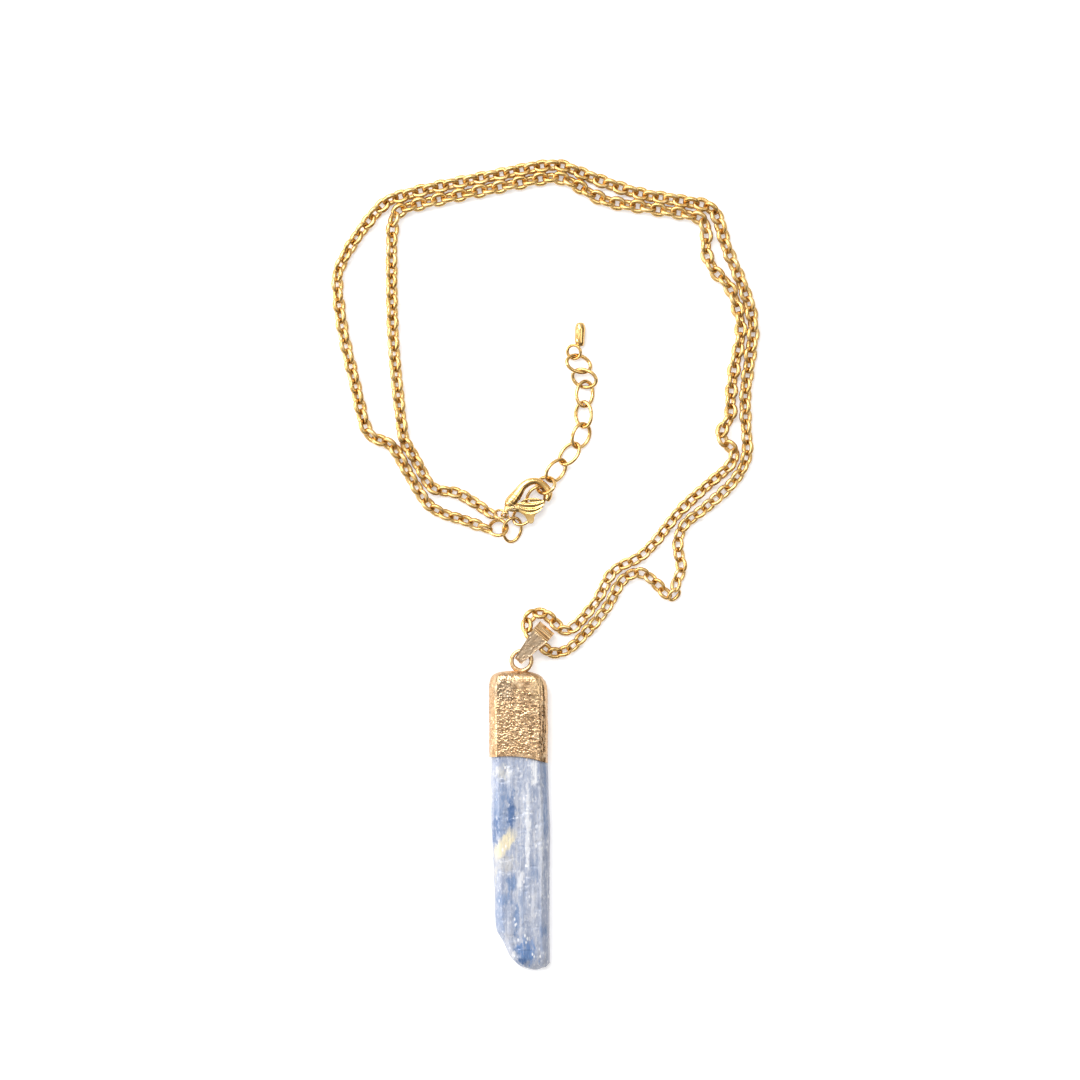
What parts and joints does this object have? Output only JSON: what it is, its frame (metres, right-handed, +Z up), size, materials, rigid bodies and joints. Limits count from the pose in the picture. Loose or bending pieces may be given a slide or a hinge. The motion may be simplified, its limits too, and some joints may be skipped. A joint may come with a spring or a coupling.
{
  "type": "kyanite blade pendant necklace",
  "caption": "Natural blue kyanite blade pendant in a metal cap, hung by a folded strap bail on a fine cable chain with a lobster clasp and an extension chain, laid flat.",
  "frame": {"origin": "on the surface that the necklace lies on, under the middle of the pendant's box (blade, cap, loop and bail)", "axes": "+Y along the blade from its free tip to the cap, +Z up from the surface, +X to the right as seen from above"},
  "size_m": [0.0766, 0.1459, 0.0044],
  "materials": {
    "kyanite": "milky, satin, with fine lengthwise striations",
    "rose_gold": "crinkled electroplate with a satin sheen",
    "yellow_gold": "polished plate"
  },
  "bodies": {
    "chain_and_clasp": {"chain": "yellow_gold", "bail": "rose_gold", "clasp_body": "yellow_gold", "clasp_pin": "yellow_gold", "clasp_jump_ring": "yellow_gold", "chain_end_ring": "yellow_gold", "extension_link_01": "yellow_gold", "extension_link_02": "yellow_gold", "extension_link_03": "yellow_gold", "extension_link_04": "yellow_gold", "extension_link_05": "yellow_gold", "extension_link_06": "yellow_gold", "extension_link_07": "yellow_gold", "extension_link_08": "yellow_gold", "extension_link_09": "yellow_gold", "extension_link_10": "yellow_gold", "extension_link_11": "yellow_gold", "end_drop": "yellow_gold"},
    "pendant": {"kyanite_blade": "kyanite", "gold_cap": "rose_gold", "cap_loop": "rose_gold"},
    "lever": {"clasp_lever": "yellow_gold"}
  },
  "joints": [
    {"name": "pendant_swing", "type": "hinge", "parent": "chain_and_clasp", "child": "pendant", "pos_m": [-0.00009, 0.02419, 0.0022], "axis": [0, 0, 1], "range_deg": [-85, 20]},
    {"name": "lever_turn", "type": "hinge", "parent": "chain_and_clasp", "child": "lever", "pos_m": [-0.00148, 0.0517, 0.00222], "axis": [0, 0, 1], "range_deg": [0, 8], "stiffness_Nm_per_rad": 0.0002}
  ]
}
